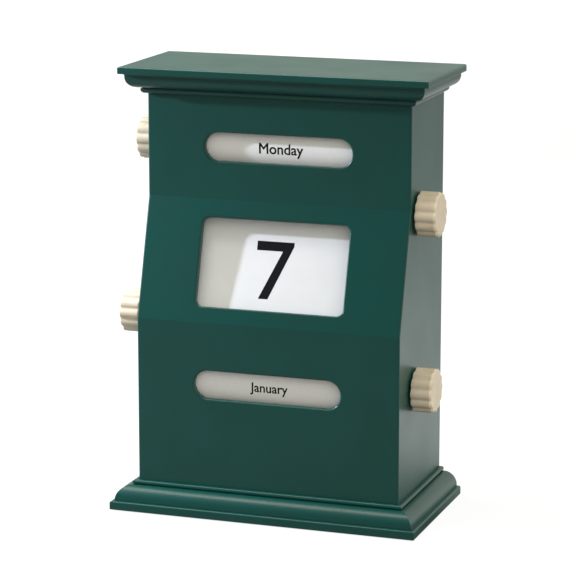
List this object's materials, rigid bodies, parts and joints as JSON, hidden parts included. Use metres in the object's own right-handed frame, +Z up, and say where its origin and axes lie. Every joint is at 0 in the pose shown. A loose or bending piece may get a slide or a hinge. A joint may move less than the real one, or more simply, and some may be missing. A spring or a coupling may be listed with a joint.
{
  "type": "perpetual desk calendar",
  "caption": "Perpetual desk calendar: pillar housing with cornice and plinth, slots for weekday and month rollers, a sloped date window with a wound tape, and fluted side knobs.",
  "frame": {"origin": "centre of the footprint on the surface that the feet stand on", "axes": "+X to the right seen from the front, +Y to the rear, +Z up"},
  "size_m": [0.1434, 0.0762, 0.2],
  "materials": {
    "green_plastic": "deep green ABS, fine moulded satin texture",
    "cream_plastic": "cream ABS, satin",
    "white_plastic": "white polystyrene, satin",
    "label_paper": "coated label paper",
    "tape_film": "matt white film",
    "axle_steel": "drawn steel rod",
    "screw_steel": "zinc-plated steel",
    "washer_nylon": "natural nylon",
    "foot_rubber": "black rubber"
  },
  "bodies": {
    "root": {"front_housing": "green_plastic", "cornice_cap": "green_plastic", "base_plinth": "green_plastic", "rear_cover": "green_plastic", "date_tape": "tape_film", "friction_washers": "washer_nylon", "cover_screws": "screw_steel", "base_screws": "screw_steel", "cap_screws": "screw_steel", "rubber_feet": "foot_rubber"},
    "weekday": {"weekday_knob": "cream_plastic", "weekday_axle": "axle_steel", "weekday_roller": "white_plastic", "weekday_end_caps": "white_plastic", "weekday_label": "label_paper"},
    "date_upper": {"date_upper_knob": "cream_plastic", "date_upper_axle": "axle_steel", "date_upper_spool": "white_plastic", "date_upper_winding": "tape_film"},
    "date_lower": {"date_lower_knob": "cream_plastic", "date_lower_axle": "axle_steel", "date_lower_spool": "white_plastic", "date_lower_winding": "tape_film"},
    "month": {"month_knob": "cream_plastic", "month_axle": "axle_steel", "month_roller": "white_plastic", "month_end_caps": "white_plastic", "month_label": "label_paper"}
  },
  "joints": [
    {"name": "weekday_turn", "type": "hinge", "parent": "root", "child": "weekday", "pos_m": [0, 0.007, 0.1649], "axis": [1, 0, 0], "continuous": true},
    {"name": "month_turn", "type": "hinge", "parent": "root", "child": "month", "pos_m": [0, -0.0042, 0.0597], "axis": [1, 0, 0], "continuous": true},
    {"name": "date_upper_turn", "type": "hinge", "parent": "root", "child": "date_upper", "pos_m": [0, -0.0005, 0.13839], "axis": [1, 0, 0], "range_deg": [-9600, 2400]},
    {"name": "date_lower_turn", "type": "hinge", "parent": "root", "child": "date_lower", "pos_m": [0, -0.0148, 0.0887], "axis": [1, 0, 0], "range_deg": [-9600, 2400]}
  ],
  "couplings": [
    {"joint": "date_lower_turn", "follows": "date_upper_turn", "ratio": 1}
  ]
}
